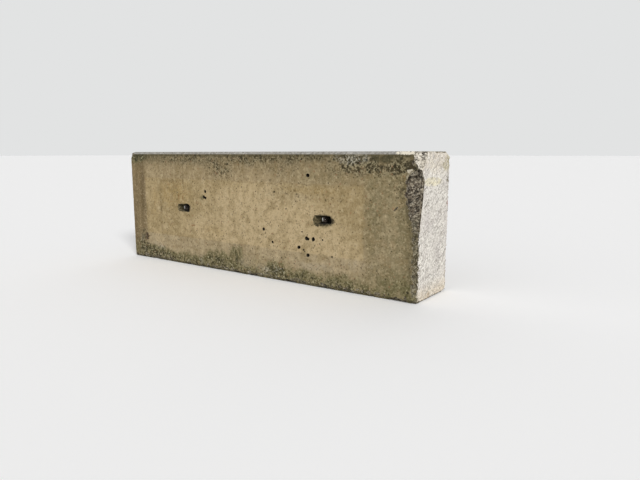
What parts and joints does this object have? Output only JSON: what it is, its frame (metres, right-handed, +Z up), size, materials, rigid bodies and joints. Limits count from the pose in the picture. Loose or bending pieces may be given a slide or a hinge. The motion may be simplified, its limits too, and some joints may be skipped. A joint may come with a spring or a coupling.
{
  "type": "concrete stacking block",
  "caption": "Long rectangular precast concrete block standing on its narrow side, with a chamfered front and steel lifting anchors in oblong recesses.",
  "frame": {"origin": "middle of the footprint, on the floor that the block stands on", "axes": "+X along the block's length towards the broken end, -Y out of the front face that holds the lifting anchors, +Z up"},
  "size_m": [2.4, 0.4, 0.8],
  "materials": {
    "concrete": "cast, weathered matte",
    "anchor_steel": "dulled zinc coating"
  },
  "bodies": {
    "root": {"concrete_block": "concrete", "lifting_anchor_left": "anchor_steel", "lifting_anchor_right": "anchor_steel"}
  },
  "joints": []
}
